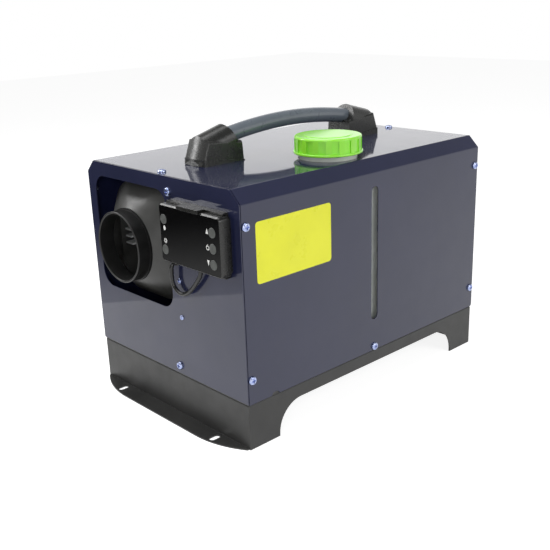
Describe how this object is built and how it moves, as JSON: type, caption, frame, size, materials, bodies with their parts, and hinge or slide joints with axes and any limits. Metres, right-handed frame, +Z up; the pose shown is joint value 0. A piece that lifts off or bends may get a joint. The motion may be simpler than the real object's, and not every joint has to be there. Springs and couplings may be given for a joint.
{
  "type": "portable diesel air heater",
  "caption": "Portable diesel air heater in a chamfered steel case on a folded base, with a round hot-air outlet, carry handle, fuel tank with screw cap and a keypad controller.",
  "frame": {"origin": "centre of the rectangle that the base covers on the floor", "axes": "+Z up, -Y the way the hot air leaves (front), +X the side with the fuel tank and its level slot"},
  "size_m": [0.2552, 0.4, 0.2957],
  "materials": {
    "navy_paint": "satin",
    "black_paint": "satin",
    "zinc_screw": "polished",
    "plain_steel": "satin",
    "handle_paint": "satin",
    "black_moulding": "fine texture",
    "heater_plastic": "satin",
    "controller_plastic": "satin",
    "controller_sheet": "polished",
    "button_plastic": "satin",
    "display": "polished",
    "circuit_board": "satin",
    "cap_green": "satin",
    "tank_plastic": "translucent",
    "rubber": "matte",
    "cast_aluminium": "as cast",
    "filter_plastic": "clear",
    "cable_jacket": "satin"
  },
  "bodies": {
    "case": {"base_frame": "black_paint", "floor_tray": "black_paint", "top_cover": "navy_paint", "front_panel": "navy_paint", "rear_panel": "navy_paint", "inner_wall": "plain_steel", "case_screws": "zinc_screw", "small_screws": "zinc_screw", "handle_socket_front": "black_moulding", "handle_socket_rear": "black_moulding", "handle_tube": "handle_paint", "handle_screws": "zinc_screw", "fuel_tank": "tank_plastic", "tank_pads": "rubber", "tank_outlet": "black_moulding", "fuel_filter": "filter_plastic", "suction_hoses": "rubber", "pressure_hose": "rubber", "fuel_inlet_pipe": "plain_steel", "pump_body": "plain_steel", "pump_spring": "plain_steel", "pump_rubber": "rubber", "pump_bracket": "plain_steel", "heater_bracket": "plain_steel", "foot_gasket": "rubber", "foot_studs": "zinc_screw", "heat_exchanger": "cast_aluminium", "burner_tube": "plain_steel", "glow_plug": "plain_steel", "blower_housing": "cast_aluminium", "motor_can": "plain_steel", "motor_bearings": "plain_steel", "control_unit": "black_moulding", "heater_lower_shell": "heater_plastic", "heater_upper_shell": "heater_plastic", "outlet_hood": "heater_plastic", "inlet_grille": "heater_plastic", "exhaust_pipe": "plain_steel", "intake_pipe": "plain_steel", "controller_front": "controller_plastic", "controller_lens": "controller_sheet", "controller_back": "controller_plastic", "controller_board": "circuit_board", "lcd_module": "display", "controller_holder": "black_moulding", "cable_grommet": "rubber", "controller_cable": "cable_jacket", "power_gland": "black_moulding"},
    "cap": {"fuel_cap": "cap_green"},
    "seal": {"cap_seal": "rubber"},
    "rotor": {"motor_rotor": "plain_steel", "air_fan": "heater_plastic", "combustion_impeller": "cast_aluminium"},
    "plunger": {"pump_plunger": "plain_steel"},
    "dot_key": {"button_dot": "button_plastic"},
    "ok_key": {"button_ok": "button_plastic"},
    "up_key": {"button_up": "button_plastic"},
    "power_key": {"button_power": "button_plastic"},
    "down_key": {"button_down": "button_plastic"}
  },
  "joints": [
    {"name": "cap_lift", "type": "slide", "parent": "case", "child": "seal", "axis": [0, 0, 1], "range_m": [0, 0.01]},
    {"name": "cap_turn", "type": "hinge", "parent": "seal", "child": "cap", "pos_m": [0.074, -0.015, 0.265], "axis": [0, 0, 1], "range_deg": [0, 900]},
    {"name": "rotor_spin", "type": "hinge", "parent": "case", "child": "rotor", "pos_m": [-0.0505, 0, 0.174], "axis": [0, 1, 0], "continuous": true},
    {"name": "pump_stroke", "type": "slide", "parent": "case", "child": "plunger", "axis": [0, 0, 1], "range_m": [0, 0.003], "stiffness_N_per_m": 1500, "deforming": ["pump_spring"]},
    {"name": "button_dot_press", "type": "slide", "parent": "case", "child": "dot_key", "axis": [0, 1, 0], "range_m": [0, 0.0008], "stiffness_N_per_m": 500},
    {"name": "button_ok_press", "type": "slide", "parent": "case", "child": "ok_key", "axis": [0, 1, 0], "range_m": [0, 0.0008], "stiffness_N_per_m": 500},
    {"name": "button_up_press", "type": "slide", "parent": "case", "child": "up_key", "axis": [0, 1, 0], "range_m": [0, 0.0008], "stiffness_N_per_m": 500},
    {"name": "button_power_press", "type": "slide", "parent": "case", "child": "power_key", "axis": [0, 1, 0], "range_m": [0, 0.0008], "stiffness_N_per_m": 500},
    {"name": "button_down_press", "type": "slide", "parent": "case", "child": "down_key", "axis": [0, 1, 0], "range_m": [0, 0.0008], "stiffness_N_per_m": 500}
  ],
  "couplings": [
    {"joint": "cap_lift", "follows": "cap_turn", "m_per_rad": 0.00063662}
  ]
}
